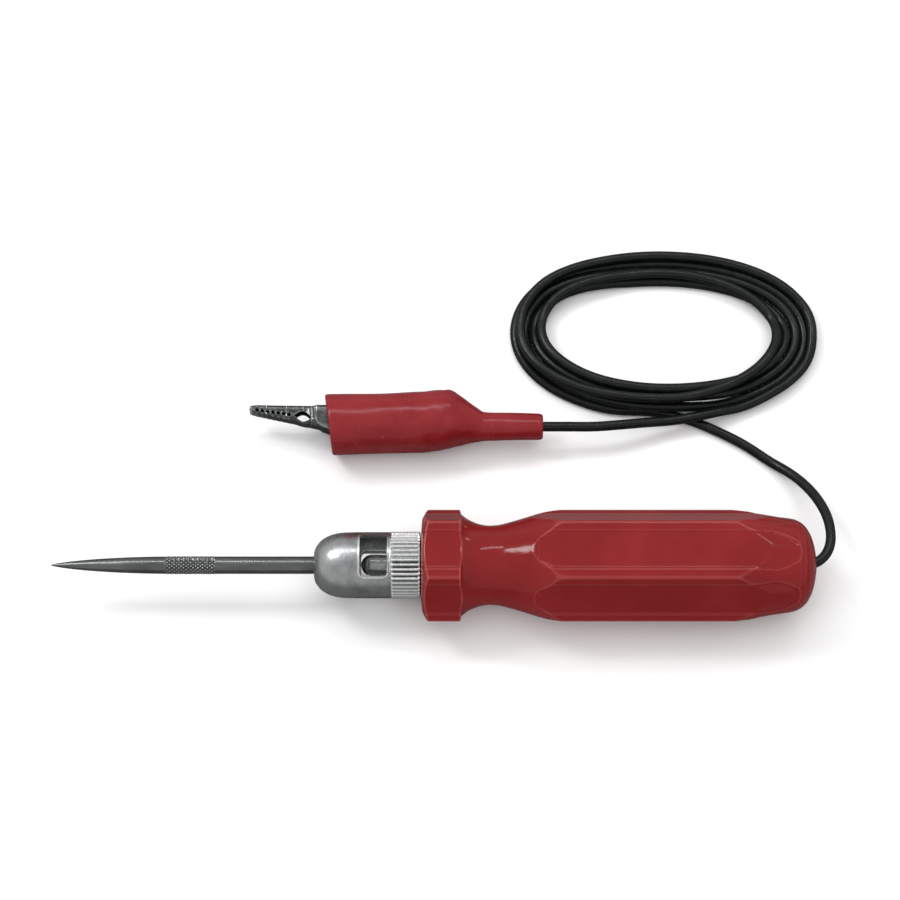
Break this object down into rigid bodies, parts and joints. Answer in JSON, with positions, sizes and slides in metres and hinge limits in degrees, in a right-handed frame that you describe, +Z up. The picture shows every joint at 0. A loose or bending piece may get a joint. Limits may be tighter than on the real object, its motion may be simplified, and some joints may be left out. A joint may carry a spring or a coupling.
{
  "type": "circuit test light",
  "caption": "Pointed probe in a windowed metal nose with a lamp behind it, six-sided handle, and a coiled lead ending in a booted spring clip.",
  "frame": {"origin": "middle of the tester's length, on the surface that the handle's lower flat rests on, under its axis", "axes": "+X along the tester from the probe's point towards the butt, +Z up from the flat it rests on, +Y towards the lead's coil"},
  "size_m": [0.2168, 0.1155, 0.0281],
  "materials": {
    "red_acetate": "polished translucent red acetate",
    "die_casting": "satin plated die casting",
    "probe_steel": "dark ground steel",
    "plated_steel": "bright plated pressed steel",
    "spring_steel": "drawn spring wire",
    "brass": "turned brass",
    "solder": "solder",
    "tungsten": "bare wire",
    "copper": "stranded copper",
    "lamp_glass": "clear blown glass",
    "black_insulator": "moulded black glass cement",
    "fibre": "vulcanised fibre",
    "lead_vinyl": "satin black vinyl insulation",
    "boot_vinyl": "soft semi-gloss red vinyl"
  },
  "bodies": {
    "tester_body": {"handle": "red_acetate", "threaded_socket": "brass", "contact_spring": "spring_steel", "insulating_sleeve": "fibre", "spring_terminal": "brass", "lead_conductor": "copper", "lead_in_handle": "lead_vinyl", "lead_stop": "brass", "lead_to_coil": "lead_vinyl", "lead_coil": "lead_vinyl", "lead_to_clip": "lead_vinyl", "lead_in_boot": "lead_vinyl", "clip_lower_jaw": "plated_steel", "clip_pivot_pin": "plated_steel", "clip_spring": "spring_steel", "clip_conductor": "copper"},
    "lamp": {"lamp_glass": "lamp_glass", "lamp_filament": "tungsten", "lamp_base": "brass", "lamp_insulator": "black_insulator", "lamp_contact": "solder"},
    "nose": {"nose_housing": "die_casting", "probe": "probe_steel"},
    "clip_jaw": {"clip_upper_jaw": "plated_steel"},
    "boot": {"clip_boot": "boot_vinyl"}
  },
  "joints": [
    {"name": "nose_advance", "type": "slide", "parent": "tester_body", "child": "lamp", "axis": [-1, 0, 0], "range_m": [0, 0.00508], "deforming": ["contact_spring"]},
    {"name": "nose_turn", "type": "hinge", "parent": "lamp", "child": "nose", "pos_m": [0, 0, 0.01405], "axis": [-1, 0, 0], "range_deg": [0, 1440]},
    {"name": "clip_jaw", "type": "hinge", "parent": "tester_body", "child": "clip_jaw", "pos_m": [-0.0269, 0.04385, 0.0087], "axis": [0, 0, -1], "range_deg": [0, 16], "stiffness_Nm_per_rad": 0.15, "springref_deg": -20.05, "deforming": ["clip_spring"]},
    {"name": "boot_slide", "type": "slide", "parent": "tester_body", "child": "boot", "axis": [1, 0, 0], "range_m": [0, 0.014]}
  ],
  "couplings": [
    {"joint": "nose_turn", "follows": "nose_advance", "rad_per_m": 4947.4}
  ]
}
